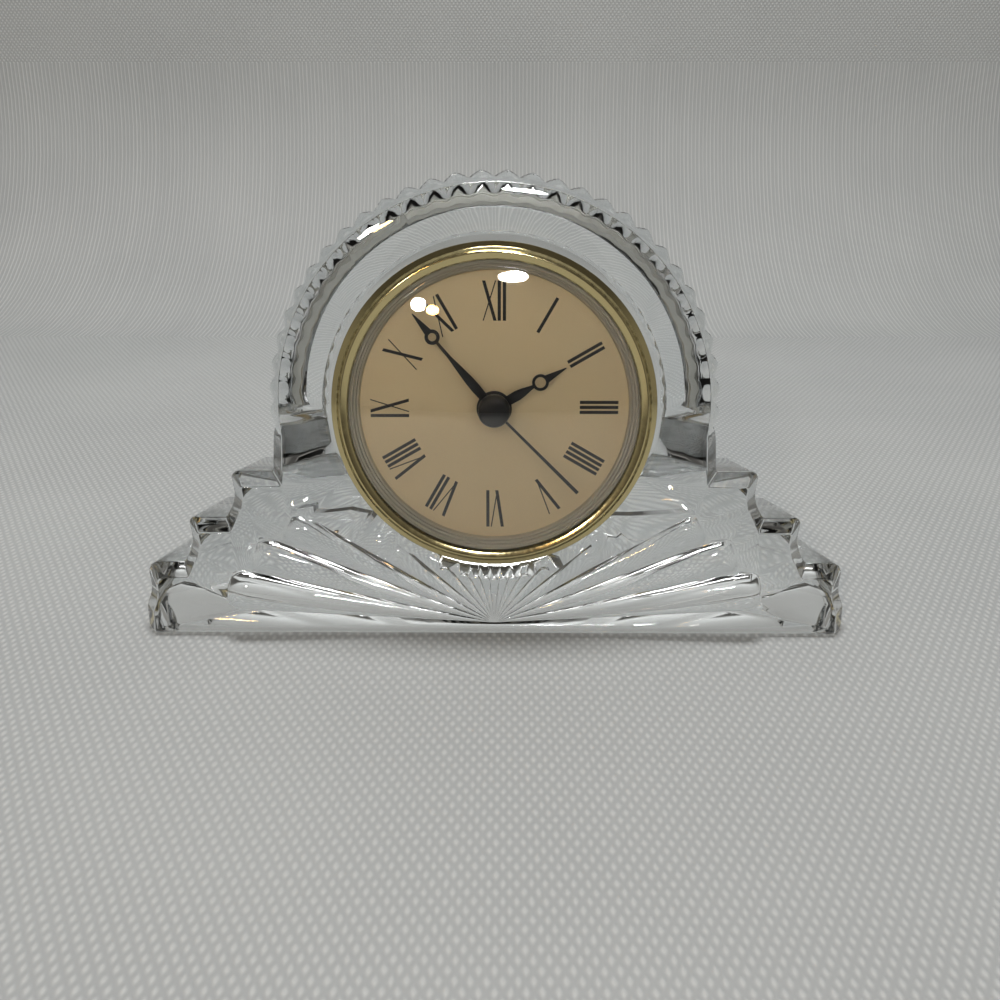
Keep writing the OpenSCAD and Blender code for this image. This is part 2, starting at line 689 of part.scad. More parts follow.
module centre_wheel() {
    color([0.85, 0.7, 0.38]) on_seat() difference() {
        union() {
            translate([0, 0, centre_z - wheel_t]) gear(centre_teeth, m_centre, wheel_t, 0);
            rod(2.2, centre_z + 0.3, centre_z - wheel_t);
        }
        rod(minute_tube_r + run_gap, centre_z + 2, centre_z - 3);
    }
}
minute_top = 1.85;
module minute_pinion() {
    color([0.85, 0.7, 0.38]) on_seat() difference() {
        union() {
            rod(minute_tube_r, minute_top, centre_z - wheel_t - 0.3);
            translate([0, 0, minute_z - wheel_t - 0.1])
                gear(minute_teeth, m_motion, wheel_t + 0.4, 0);
        }
        rod(seconds_arbor_r + run_gap, minute_top + 1, centre_z - 4);
    }
}
module motion_wheel() {
    color([0.92, 0.9, 0.84]) on_seat() at(motion_at) difference() {
        union() {
            translate([0, 0, minute_z - wheel_t]) gear(motion_teeth, m_motion, wheel_t, motion_phase);
            translate([0, 0, minute_z - eps])
                gear(motion_pinion, m_motion, hour_z - minute_z + 0.2, motion_pinion_phase);
        }
        rod(stud_r + run_gap, 0, -20);
    }
}
hour_top = 0.35;
module hour_wheel() {
    color([0.92, 0.9, 0.84]) on_seat() difference() {
        union() {
            translate([0, 0, hour_z - wheel_t]) gear(hour_teeth, m_motion, wheel_t, 0);
            rod(hour_tube_r, hour_top, hour_z - wheel_t);
        }
        rod(minute_tube_r + run_gap, hour_top + 1, hour_z - 3);
    }
}
knob_r = 4.6;
knob_h = 3.2;
module setting_knob() {
    color([0.13, 0.13, 0.14]) on_seat() at(knob_at) union() {
        rod(knob_arbor_r, front_z - 0.7, cup_back - 1);
        translate([0, 0, minute_z - wheel_t - 0.1])
            gear(knob_teeth, m_motion, wheel_t + 0.2, knob_phase);
        difference() {
            rod(knob_r, cup_back - 0.3, cup_back - 0.3 - knob_h);
            for (i = [0 : 23]) rotate(i * 15) translate([knob_r + 0.25, 0, cup_back - 5])
                cylinder(r = 0.5, h = 6, $fn = 24);
        }
    }
}

// HANDS, drawn pointing to twelve
hand_t = 0.35;
module disc(y, r) {
    translate([0, y, 0]) cylinder(r = r, h = hand_t);
}
// A hand with a leaf-shaped shank, a ring and a spear tip; the leaf is
// given as pairs of half width and share of the way to the ring
module ring_hand(length, ring_y, ring_r, hole_r, leaf, spear, boss_r, hole) {
    difference() {
        union() {
            disc(0, boss_r);
            disc(ring_y, ring_r);
            linear_extrude(height = hand_t) polygon(concat(
                [for (p = leaf) [p[0], p[1] * ring_y]],
                [for (i = [len(leaf) - 1 : -1 : 0]) [-leaf[i][0], leaf[i][1] * ring_y]]));
            linear_extrude(height = hand_t) polygon([
                [spear, ring_y + ring_r * 0.86], [0.12, length],
                [-0.12, length], [-spear, ring_y + ring_r * 0.86]]);
        }
        translate([0, ring_y, -1]) cylinder(r = hole_r, h = hand_t + 2);
        translate([0, 0, -1]) cylinder(r = hole, h = hand_t + 2);
    }
}
hour_boss_r = 4.6;
module hour_hand() {
    color([0.05, 0.05, 0.05]) on_seat() translate([0, 0, hour_top - hand_t]) rotate(-hour_at)
        ring_hand(hour_len, hour_len * 0.643, 2.18, 1.42,
            [[1.1, 0.15], [1.3, 0.35], [1.35, 0.5], [1.1, 0.63], [0.6, 0.78], [0.42, 0.87]],
            1.05, hour_boss_r, hour_tube_r);
}
module minute_hand() {
    color([0.05, 0.05, 0.05]) on_seat() translate([0, 0, minute_top - hand_t]) rotate(-minute_at)
        ring_hand(minute_len, minute_len * 0.76, 1.95, 1.05,
            [[1, 0.06], [1.15, 0.2], [1.25, 0.3], [1.15, 0.42], [0.8, 0.58], [0.45, 0.72],
             [0.38, 0.93]],
            1, 2.6, minute_tube_r);
}
module seconds_hand() {
    cap_h = 3.7;
    color([0.05, 0.05, 0.05]) on_seat() rotate(-seconds_at) union() {
        translate([0, 0, seconds_top]) linear_extrude(height = 0.25) polygon([
            [-0.3, -2], [0.3, -2], [0.46, seconds_len], [-0.46, seconds_len]]);
        translate([0, 0, seconds_top - 0.3]) rotate_extrude() polygon([
            [seconds_arbor_r, 0], [cap_r, 0], [cap_r, cap_h - 0.9], [cap_r - 0.3, cap_h - 0.3],
            [cap_r - 1, cap_h], [0, cap_h], [0, 0.3], [seconds_arbor_r, 0.3]]);
    }
}

// BATTERY
cell_z = bay_front - bay_wall - cell_gap - cell_r;
module battery() {
    button = 1.3;
    color([0.75, 0.6, 0.25]) on_seat()
        translate([-cell_len / 2 - button / 2, bay_y, cell_z]) rotate([0, 90, 0]) union() {
            cylinder(r = cell_r, h = cell_len);
            translate([0, 0, cell_len - eps]) cylinder(r = 2.7, h = button + eps);
        }
}
contact_t = 0.3;
module contact(side, gap) {
    translate([side * (bay_len / 2 - contact_t / 2), bay_y, cell_z]) union() {
        cube([contact_t, 8, 9], center = true);
        rotate([0, -side * 90, 0]) translate([0, 0, contact_t / 2 - eps])
            cylinder(r1 = 2.2, r2 = 1.2, h = gap);
    }
}
module positive_contact() {
    gap = bay_len / 2 - contact_t - cell_len / 2 - 0.65 - 0.06;
    color([0.8, 0.8, 0.78]) on_seat() contact(1, gap);
}
module negative_contact() {
    gap = bay_len / 2 - contact_t - cell_len / 2 - 0.65 - 0.06;
    color([0.8, 0.8, 0.78]) on_seat() contact(-1, gap);
}

crystal_body();
bezel_ring();
lens();
inner_ring();
dial_plate();
case_cup();
rubber_band();
front_plate();
middle_plate();
rear_plate();
plate_screws();
circuit_board();
oscillator_can();
coil();
stator();
rotor();
step_wheel();
seconds_wheel();
third_wheel();
centre_wheel();
minute_pinion();
motion_wheel();
hour_wheel();
setting_knob();
hour_hand();
minute_hand();
seconds_hand();
battery();
positive_contact();
negative_contact();
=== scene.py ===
# %% [markdown]
# # A pressed crystal desk clock
# The clock is a thick block of clear lead crystal with a round quartz clock
# pushed into a bore in its middle. The CAD model already holds every piece at
# its real size. This lesson copies or rebuilds the pieces that the eye sees,
# gives each one the surface that its real material has, and sets the stage.
# Blender measures in metres, in the CAD model's own frame: the table is at
# z = 0 and the dial looks towards -Y, leaning back a little. Sizes of pieces
# are written in millimetres, and MM turns them into metres.

# %% Load the CAD frame
import math
import bpy
from mathutils import Matrix, Vector


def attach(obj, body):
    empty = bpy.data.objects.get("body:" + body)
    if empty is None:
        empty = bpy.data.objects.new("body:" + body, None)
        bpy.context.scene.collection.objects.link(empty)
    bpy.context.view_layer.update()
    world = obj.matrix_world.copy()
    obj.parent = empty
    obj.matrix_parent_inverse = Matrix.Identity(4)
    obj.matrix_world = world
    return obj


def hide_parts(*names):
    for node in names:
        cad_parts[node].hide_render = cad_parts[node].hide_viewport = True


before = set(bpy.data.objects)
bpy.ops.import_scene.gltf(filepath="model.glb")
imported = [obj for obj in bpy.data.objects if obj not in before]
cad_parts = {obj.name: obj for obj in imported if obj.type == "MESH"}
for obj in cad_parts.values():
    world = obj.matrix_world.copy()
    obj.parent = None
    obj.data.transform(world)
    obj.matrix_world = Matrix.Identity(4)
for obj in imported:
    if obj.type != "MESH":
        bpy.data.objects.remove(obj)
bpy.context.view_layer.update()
bpy.ops.object.select_all(action="DESELECT")

# %% [markdown]
# ## The camera
# The camera stands a little above the clock and looks down at it. A 36 mm lens
# on a 36 mm square sensor sees as wide as the frame is far away, which is
# about what the main lens of a phone sees.

# %% The camera
MM = 0.001
CAMERA_AT = (0.003, -0.2627, 0.1386)
CAMERA_TILT, CAMERA_TURN = 68, 0.34
LENS_LENGTH = SENSOR_WIDTH = 36
bpy.ops.object.camera_add(location=CAMERA_AT, rotation=(
    math.radians(CAMERA_TILT), 0, math.radians(CAMERA_TURN)))
camera = bpy.context.object
camera.name = "photo_camera"
camera.data.lens = LENS_LENGTH
camera.data.sensor_width = SENSOR_WIDTH
camera.data.clip_start = 10 * MM
bpy.context.scene.camera = camera
print("camera at", tuple(round(v, 4) for v in camera.location))

# %% [markdown]
# ## Helpers for materials
# A colour is written as the sRGB hex value that the eye would name, and one
# function turns it into the linear value that Blender works with. A second
# small function adds a node, sets its inputs and links it. A third starts a
# material from an empty shader. The scale of a noise counts its cells in a
# metre, so 1000 gives cells of one millimetre.

# %% Colour and node helpers
def linear(hex_colour):
    """The linear RGBA value of an sRGB hex colour."""
    parts = [int(hex_colour[i:i + 2], 16) / 255 for i in (1, 3, 5)]
    made = [c / 12.92 if c <= 0.04045 else ((c + 0.055) / 1.055) ** 2.4 for c in parts]
    return (*made, 1.0)


def node(tree, kind, links=None, **settings):
    """Adds a node; links maps an input's name or number to a value or an output."""
    made = tree.nodes.new(kind)
    for name, value in settings.items():
        setattr(made, name, value)
    for name, value in (links or {}).items():
        if isinstance(value, bpy.types.NodeSocket):
            tree.links.new(value, made.inputs[name])
        else:
            made.inputs[name].default_value = value
    return made


def new_material(name):
    """A material with an empty Principled surface: (material, tree, shader)."""
    made = bpy.data.materials.new(name)
    made.use_nodes = True
    tree = made.node_tree
    tree.nodes.clear()
    shader = node(tree, "ShaderNodeBsdfPrincipled")
    out = node(tree, "ShaderNodeOutputMaterial")
    tree.links.new(shader.outputs[0], out.inputs[0])
    print("material", name)
    return made, tree, shader


print("white is", linear("#FFFFFF"))

# %% [markdown]
# ## Helpers for pieces
# The insert's pieces are round, and share the axis that stands square on the
# leaning face. They are shaped flat, in millimetres, round the Z axis, and one
# matrix then sets them on the bezel's seat. Applying it leaves the object at
# the origin with its place in its mesh.

# %% The seat's own frame
LEAN = math.radians(7.6)
BASE_DEPTH, FOOT_ROUND = 38, 2.2
DIAL_UP, SEAT_DEEP = 63.5, 0.6
FACE_Y = -(BASE_DEPTH + FOOT_ROUND / math.cos(LEAN)) / 2
seat_at = Vector((0, FACE_Y + DIAL_UP * math.sin(LEAN) + SEAT_DEEP * math.cos(LEAN),
                  DIAL_UP * math.cos(LEAN) - SEAT_DEEP * math.sin(LEAN)))
TURN = Matrix.Rotation(math.pi / 2 - LEAN, 4, "X")
SEAT = Matrix.Scale(MM, 4) @ Matrix.Translation(seat_at) @ TURN
print("seat at", [round(v, 3) for v in seat_at], "mm")


# %% Pick, seat and smooth a piece, and give it to its body
def pick(piece):
    """Selects one piece alone and makes it the active one."""
    bpy.ops.object.select_all(action="DESELECT")
    piece.select_set(True)
    bpy.context.view_layer.objects.active = piece


def finish_piece(piece, name, material, body, stands_for=(), seat=True, angle=35):
    """Names, places and smooths a piece, gives it its material and body, and hides the CAD
    pieces it stands for.
    """
    piece.name = name
    piece.data.name = name
    pick(piece)
    if seat:
        piece.matrix_world = SEAT @ piece.matrix_world
    bpy.ops.object.transform_apply(location=True, rotation=True, scale=True)
    bpy.ops.object.shade_smooth_by_angle(angle=math.radians(angle))
    piece.data.materials.clear()
    piece.data.materials.append(material)
    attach(piece, body)
    if stands_for:
        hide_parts(*stands_for)
    print(name, len(piece.data.polygons), "faces")


# %% Turn a profile on the lathe
def turned(points, steps=192, closed=True):
    """A ring or bowl from (radius, height) points in millimetres, turned round Z."""
    bpy.ops.object.select_all(action="DESELECT")
    bpy.ops.mesh.primitive_plane_add(size=0.1, location=(0, 0, 0))
    piece = bpy.context.object
    bpy.ops.object.mode_set(mode="EDIT")
    bpy.ops.mesh.merge(type="CENTER")
    r, h = points[0]
    bpy.ops.transform.translate(value=(r, 0, h))
    for (r0, h0), (r1, h1) in zip(points, points[1:]):
        bpy.ops.mesh.extrude_region_move(
            TRANSFORM_OT_translate={"value": (r1 - r0, 0, h1 - h0)})
    bpy.ops.mesh.select_all(action="SELECT")
    if closed:
        bpy.ops.mesh.edge_face_add()
        bpy.ops.mesh.delete(type="ONLY_FACE")
        bpy.ops.mesh.select_all(action="SELECT")
    bpy.ops.mesh.spin(steps=steps, angle=2 * math.pi, center=(0, 0, 0), axis=(0, 0, 1))
    bpy.ops.mesh.select_all(action="SELECT")
    bpy.ops.mesh.remove_doubles(threshold=0.0005)
    bpy.ops.mesh.normals_make_consistent(inside=False)
    bpy.ops.object.mode_set(mode="OBJECT")
    return piece


# %% Copy a CAD node's mesh to finish it
def cad_copy(name, flatten=True):
    """A merged copy of a CAD node. To flatten it joins its flat areas into single faces."""
    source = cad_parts[name]
    piece = bpy.data.objects.new(name + "_shown", source.data.copy())
    bpy.context.scene.collection.objects.link(piece)
    pick(piece)
    bpy.ops.object.mode_set(mode="EDIT")
    bpy.ops.mesh.select_all(action="SELECT")
    bpy.ops.mesh.remove_doubles(threshold=0.002 * MM)
    if flatten:
        bpy.ops.mesh.dissolve_limited(angle_limit=math.radians(0.5))
    bpy.ops.object.mode_set(mode="OBJECT")
    return piece


def modify(piece, kind, **settings):
    """Adds a modifier, sets it and applies it."""
    pick(piece)
    made = piece.modifiers.new(kind.lower(), kind)
    for name, value in settings.items():
        setattr(made, name, value)
    bpy.ops.object.modifier_apply(modifier=made.name)


# %% [markdown]
# ## The crystal
# Lead crystal is pressed hot into an iron mould and then fire polished, so it
# is perfectly clear, bends light more than window glass and keeps a very
# slight waviness. Its index of refraction is about 1.55. The waviness is a
# bump about two centimetres long, so faint that only edges seen through the
# glass show it.

# %% Lead crystal
crystal, tree, shader = new_material("lead_crystal_fire_polished")
place = node(tree, "ShaderNodeTexCoord")
flow = node(tree, "ShaderNodeTexNoise", {"Vector": place.outputs["Object"], "Scale": 55.0,
                                         "Detail": 1.0, "Roughness": 0.4})
ripple = node(tree, "ShaderNodeBump", {"Height": flow.outputs[0], "Strength": 0.03,
                                       "Distance": 0.4 * MM})
shader.inputs["Base Color"].default_value = linear("#FBFDFD")
shader.inputs["Transmission Weight"].default_value = 1.0
shader.inputs["Roughness"].default_value = 0.0
shader.inputs["IOR"].default_value = 1.55
tree.links.new(ripple.outputs[0], shader.inputs["Normal"])
print("crystal IOR", shader.inputs["IOR"].default_value)

# %% [markdown]
# The block is a merged copy of the CAD solid. The softness that the mould and
# the fire polish give is added to it here, point by point. The ribs nearly die
# out where the bevel round the back begins. The petals of the fan stand out a
# little more. The lower half of the seat's wall is drawn in under the bezel,
# and the edge of its upper half is rounded, so it catches a line of light.

# %% A point's place on the leaning face
def on_face(point):
    """From metres to millimetres on the face: across, up it and inwards."""
    x, y, z = (c / MM for c in point)
    return (x, (y - FACE_Y) * math.sin(LEAN) + z * math.cos(LEAN),
            (y - FACE_Y) * math.cos(LEAN) - z * math.sin(LEAN))


def from_face(x, up, deep):
    """The way back, to a point in metres."""
    y = FACE_Y + up * math.sin(LEAN) + deep * math.cos(LEAN)
    return Vector((x, y, up * math.cos(LEAN) - deep * math.sin(LEAN))) * MM


print("foot of the face", [round(c, 3) for c in on_face((0, FACE_Y * MM, 0))])

# %% The crystal block
# The ring of rib ends at the back bevel: its place, its mean radius, the arch's
# centre, and the band that only its points lie in
RING_Y, RING_R, ARCH_UP = 13.4, 55.6, 61.5
RING_SPAN, RING_INNER, RING_OUTER, RING_LOWEST = 0.25, 54.5, 57, 52
# Share of the ribs' height that is left on that ring
RIBS_KEPT = 0.35
# A point this far in front of the face belongs to a petal, and is raised
PETAL_FROM, PETAL_GAIN, PETAL_LOSS = 0.05, 1.25, 0.2
# The seat's circle, where its lower half goes, and how near it a point counts
SEAT_R, UNDER_BEZEL_R, ON_EDGE = 44.8, 42.65, 0.05
# Just behind the floor of the seat
SEAT_FLOOR = SEAT_DEEP + 0.1
# The wall is drawn in more and more down to this angle below the dial's level
DRAWN_IN = math.radians(30)

block = cad_copy("crystal_body", flatten=False)
ring_count = petal_count = seat_count = 0
for vertex in block.data.vertices:
    x, up, deep = on_face(vertex.co)
    radius = math.hypot(x, up - ARCH_UP)
    at_ring = abs(vertex.co.y / MM - RING_Y) < RING_SPAN
    if at_ring and RING_INNER < radius < RING_OUTER and up > RING_LOWEST:
        k = (RING_R + RIBS_KEPT * (radius - RING_R)) / radius
        vertex.co = from_face(x * k, ARCH_UP + (up - ARCH_UP) * k, deep)
        ring_count += 1
        continue
    if deep < -PETAL_FROM:
        deep = PETAL_GAIN * deep + PETAL_LOSS
        petal_count += 1
    radius = math.hypot(x, up - DIAL_UP)
    below = (DIAL_UP - up) / radius
    if abs(radius - SEAT_R) < ON_EDGE and deep < SEAT_FLOOR and below > 0:
        share = min(1, below / math.sin(DRAWN_IN))
        k = 1 + (UNDER_BEZEL_R / SEAT_R - 1) * share
        x, up = x * k, DIAL_UP + (up - DIAL_UP) * k
        deep = deep * (1 - share) if deep < 0 else deep
        seat_count += 1
    vertex.co = from_face(x, up, deep)
print("ring points", ring_count, "petal points", petal_count, "seat points", seat_count)

# %% Round the edge of the seat
ROUNDED_ABOVE, EDGE_ROUND = 54, 0.32
AT_FACE = 0.03
bpy.ops.object.mode_set(mode="EDIT")
bpy.ops.mesh.select_mode(type="EDGE")
bpy.ops.mesh.select_all(action="DESELECT")
bpy.ops.object.mode_set(mode="OBJECT")
seat_edge = 0
for edge in block.data.edges:
    ends = [on_face(block.data.vertices[v].co) for v in edge.vertices]
    edge.select = all(abs(math.hypot(x, up - DIAL_UP) - SEAT_R) < ON_EDGE
                      and abs(deep) < AT_FACE and up > ROUNDED_ABOVE for x, up, deep in ends)
    seat_edge += edge.select
bpy.ops.object.mode_set(mode="EDIT")
bpy.ops.mesh.bevel(offset=EDGE_ROUND * MM, segments=3, affect="EDGES")
bpy.ops.mesh.select_mode(type="VERT")
bpy.ops.object.mode_set(mode="OBJECT")
print("edges rounded", seat_edge)
finish_piece(block, "crystal_block", crystal, "crystal", ["crystal_body"],
             seat=False, angle=24)

# %% [markdown]
# ## Brass bezel
# The bezel is turned from brass, polished and lacquered. Polished metal is
# nearly a mirror, so what it shows is its profile: a sloping flange on the
# glass, a steep wall, a narrow crest and a slope down to the lens. The profile
# is drawn once and spun round the axis.

# %% Polished brass
brass, tree, shader = new_material("brass_polished_lacquered")
place = node(tree, "ShaderNodeTexCoord")
wear = node(tree, "ShaderNodeTexNoise", {"Vector": place.outputs["Object"], "Scale": 900.0,
                                         "Detail": 3.0})
gloss = node(tree, "ShaderNodeMapRange", {"Value": wear.outputs[0], "From Min": 0.3,
                                          "From Max": 0.7, "To Min": 0.10, "To Max": 0.17})
shader.inputs["Base Color"].default_value = linear("#D4C491")
shader.inputs["Metallic"].default_value = 1.0
tree.links.new(gloss.outputs[0], shader.inputs["Roughness"])

# %% The bezel
LENS_SEAT = 2.05
bezel_profile = [
    (36.45, -7), (38.0, -7), (38.2, -6.7), (38.2, 0), (42.5, 0), (42.5, 1.0), (42.42, 1.22),
    (42.2, 1.38), (41.25, 1.8), (41.05, 1.93), (40.92, 2.12), (40.3, 3.4), (40.2, 3.72),
    (40.14, 3.95), (40.05, 4.12), (39.9, 4.24), (39.7, 4.28), (39.48, 4.25), (38.7, 3.96),
    (38.4, 3.85), (38.2, 3.74), (38.1, 3.62), (38.1, 3.5), (39.2, 3.5), (39.2, LENS_SEAT),
    (37.75, LENS_SEAT), (37.75, -1.4), (36.45, -1.4)]
bezel = turned(bezel_profile, steps=256)
finish_piece(bezel, "bezel_turned", brass, "insert", ["bezel_ring"], angle=32)

# %% [markdown]
# ## The silver ring and the lens
# Between the lens and the dial a satin silver ring is turned with four flats,
# each a step lower than the last. Satin metal spreads its highlights, so each
# flat is one soft grey band. The lens is a shallow dome of the same thickness
# all over. Its shine is kept low, so the print under it stays black.

# %% Satin silver
silver, tree, shader = new_material("aluminium_turned_satin")
shader.inputs["Base Color"].default_value = linear("#C9C2AF")
shader.inputs["Metallic"].default_value = 0.75
shader.inputs["Roughness"].default_value = 0.3

# %% The inner ring
DIAL_FACE = -2.0
ring_profile = [
    (35.2, DIAL_FACE), (36.3, DIAL_FACE), (36.3, -1.3), (37.65, -1.3), (37.65, LENS_SEAT),
    (37.35, LENS_SEAT), (37.25, 1.2), (37.15, 1.1), (36.8, 1.08), (36.7, 0.98), (36.62, 0.2),
    (36.52, 0.1), (36.17, 0.08), (36.07, -0.02), (36.0, -0.75), (35.9, -0.85), (35.6, -0.87),
    (35.5, -0.97), (35.42, -1.6)]
ring = turned(ring_profile)
finish_piece(ring, "silver_ring", silver, "insert", ["inner_ring"], angle=20)

# %% Mineral glass
lens_glass, tree, shader = new_material("mineral_glass_domed")
shader.inputs["Base Color"].default_value = linear("#FFFFFF")
shader.inputs["Transmission Weight"].default_value = 1.0
shader.inputs["Roughness"].default_value = 0.015
shader.inputs["IOR"].default_value = 1.5
shader.inputs["Specular IOR Level"].default_value = 0.25

# %% The lens
LENS_R, LENS_THICK, LENS_CROWN, DOME_RISE = 39.1, 1.5, 6.4, 5.3
DOME_R = (LENS_R ** 2 + DOME_RISE ** 2) / (2 * DOME_RISE)
APEX = LENS_SEAT + LENS_CROWN


def dome(radius, reach, steps=24):
    """An arc of points from the axis out to reach, round the centre of both domes."""
    widest = math.asin(reach / radius)
    turns = [widest * k / steps for k in range(steps + 1)]
    return [(radius * math.sin(a), APEX - DOME_R + radius * math.cos(a)) for a in turns]


inner_r = DOME_R - LENS_THICK
inner_reach = math.sqrt(inner_r ** 2 - (LENS_SEAT - APEX + DOME_R) ** 2)
outside = dome(DOME_R, LENS_R) + [(LENS_R, LENS_SEAT)]
inside = dome(inner_r, inner_reach)
lens = turned(outside + inside[::-1], closed=False)
finish_piece(lens, "lens_domed", lens_glass, "insert", ["lens"], angle=30)

# %% [markdown]
# ## The dial
# The dial is a brass disc under a champagne lacquer, whose fine grain changes
# its tone a little. The numerals are Roman, printed in a matt black ink with
# thick and thin strokes, their heads outwards.

# %% Champagne lacquer
dial_paint, tree, shader = new_material("champagne_lacquer_over_brushed_brass")
place = node(tree, "ShaderNodeTexCoord")
local = node(tree, "ShaderNodeMapping", {"Vector": place.outputs["Object"],
             "Location": tuple(seat_at * MM), "Rotation": (math.pi / 2 - LEAN, 0, 0)},
             vector_type="TEXTURE")
grain = node(tree, "ShaderNodeTexNoise", {"Vector": local.outputs[0], "Scale": 2600.0,
                                          "Detail": 2.0})
tone = node(tree, "ShaderNodeMix", {"Factor": grain.outputs[0], 6: linear("#DCC699"),
                                    7: linear("#E4D0A4")}, data_type="RGBA")
tree.links.new(tone.outputs[2], shader.inputs["Base Color"])
shader.inputs["Roughness"].default_value = 0.42
shader.inputs["Metallic"].default_value = 0.15

# %% The dial disc
DIAL_THICK, DIAL_R, BUSH_HOLE_R = 0.6, 36.3, 3.1
DIAL_BACK = DIAL_FACE - DIAL_THICK
dial = turned([(BUSH_HOLE_R, DIAL_BACK), (DIAL_R, DIAL_BACK), (DIAL_R, DIAL_FACE),
               (BUSH_HOLE_R, DIAL_FACE)], steps=128)
finish_piece(dial, "dial_disc", dial_paint, "insert", ["dial_plate"], angle=30)

# %% Printing ink
ink, tree, shader = new_material("black_dial_ink")
shader.inputs["Base Color"].default_value = linear("#0C0B09")
shader.inputs["Roughness"].default_value = 0.5

# %% Strokes of the numerals
LOW, HIGH = 22.4, 32.5
THICK, THIN = 0.84, 0.3
PITCH = 1.32
INK_THICK, INK_TOP = 0.028, DIAL_FACE + 0.03
# The strokes of a letter: where each starts and ends beside its middle, and its width
LETTERS = {"V": [(0.1, -1.4, THICK), (-0.05, 1.6, THIN)],
           "X": [(1.45, -1.45, THICK), (-1.6, 1.6, THIN)]}


def stroke(low_x, high_x, width):
    """One stroke from the inner to the outer circle, its ends cut level."""
    bpy.ops.mesh.primitive_plane_add(size=1, location=(0, 0, 0))
    piece = bpy.context.object
    corners = [(low_x - width / 2, LOW), (low_x + width / 2, LOW),
               (high_x - width / 2, HIGH), (high_x + width / 2, HIGH)]
    for vertex, (x, y) in zip(piece.data.vertices, corners):
        vertex.co = (x, y, INK_TOP)
    return piece


def letter(kind, x):
    """The strokes of a V or an X whose middle is at x."""
    return [stroke(x + low, x + high, width) for low, high, width in LETTERS[kind]]


def bars(x, count):
    """A row of upright strokes whose middle is at x."""
    first = x - (count - 1) / 2 * PITCH
    return [stroke(first + k * PITCH, first + k * PITCH, THICK) for k in range(count)]


# %% The twelve numerals
numerals = {hour: bars(0, hour) for hour in (1, 2, 3, 4)}
numerals[5] = letter("V", 0)
numerals[6] = letter("V", -0.75) + bars(1.75, 1)
numerals[7] = letter("V", -1.4) + bars(1.75, 2)
numerals[8] = letter("V", -2.1) + bars(1.65, 3)
numerals[9] = bars(-2.25, 1) + letter("X", 0.4)
numerals[10] = letter("X", 0)
numerals[11] = letter("X", -0.8) + bars(1.75, 1)
numerals[12] = letter("X", -1.25) + bars(1.95, 2)
every_stroke = []
for hour, strokes in numerals.items():
    for piece in strokes:
        piece.matrix_world = Matrix.Rotation(-math.radians(30 * hour), 4, "Z")
        every_stroke.append(piece)
bpy.ops.object.select_all(action="DESELECT")
for piece in every_stroke:
    piece.select_set(True)
bpy.context.view_layer.objects.active = every_stroke[0]
bpy.ops.object.transform_apply(location=True, rotation=True, scale=True)
bpy.ops.object.join()
numeral_print = bpy.context.object
modify(numeral_print, "SOLIDIFY", thickness=INK_THICK, offset=-1)
finish_piece(numeral_print, "numerals_printed", ink, "insert", angle=30)

# %% [markdown]
# ## Hands
# The hands are stamped from thin sheet and dipped in black lacquer, so their
# edges are slightly round. The CAD outlines are right, and a small bevel
# gives them the edge that catches the light.

# %% Black lacquer
hand_black, tree, shader = new_material("black_satin_lacquer")
place = node(tree, "ShaderNodeTexCoord")
peel = node(tree, "ShaderNodeTexNoise", {"Vector": place.outputs["Object"], "Scale": 1800.0})
skin = node(tree, "ShaderNodeBump", {"Height": peel.outputs[0], "Strength": 0.08,
                                     "Distance": 0.1 * MM})
shader.inputs["Base Color"].default_value = linear("#060606")
shader.inputs["Roughness"].default_value = 0.32
tree.links.new(skin.outputs[0], shader.inputs["Normal"])

# %% The three hands
for cad_name, body, edge_width in (("hour_hand", "hour", 0.05), ("minute_hand", "minute", 0.05),
                                   ("seconds_hand", "seconds", 0.03)):
    hand = cad_copy(cad_name)
    modify(hand, "BEVEL", width=edge_width * MM, segments=2, limit_method="ANGLE",
           angle_limit=math.radians(40))
    finish_piece(hand, cad_name + "_lacquered", hand_black, body, [cad_name],
                 seat=False, angle=30)

# %% [markdown]
# ## The pieces behind the dial
# These stay the CAD pieces. Each gets a material made for it: moulded plastics
# have a fine grain from the tool, and plated and drawn metals are smoother.

# %% Plastics, rubber and metals behind the dial
def simple(name, colour, roughness, metallic=0.0, bump=0.05, scale=1500.0, spread=0.06):
    """A moulded or plated surface: slight colour change and a fine texture."""
    made, tree, shader = new_material(name)
    place = node(tree, "ShaderNodeTexCoord")
    grit = node(tree, "ShaderNodeTexNoise", {"Vector": place.outputs["Object"],
                                             "Scale": scale, "Detail": 3.0})
    low = [c * (1 - spread) for c in linear(colour)[:3]] + [1]
    tone = node(tree, "ShaderNodeMix", {"Factor": grit.outputs[0], 6: low,
                                        7: linear(colour)}, data_type="RGBA")
    skin = node(tree, "ShaderNodeBump", {"Height": grit.outputs[0], "Strength": bump,
                                         "Distance": 0.2 * MM})
    tree.links.new(tone.outputs[2], shader.inputs["Base Color"])
    tree.links.new(skin.outputs[0], shader.inputs["Normal"])
    shader.inputs["Roughness"].default_value = roughness
    shader.inputs["Metallic"].default_value = metallic
    return made


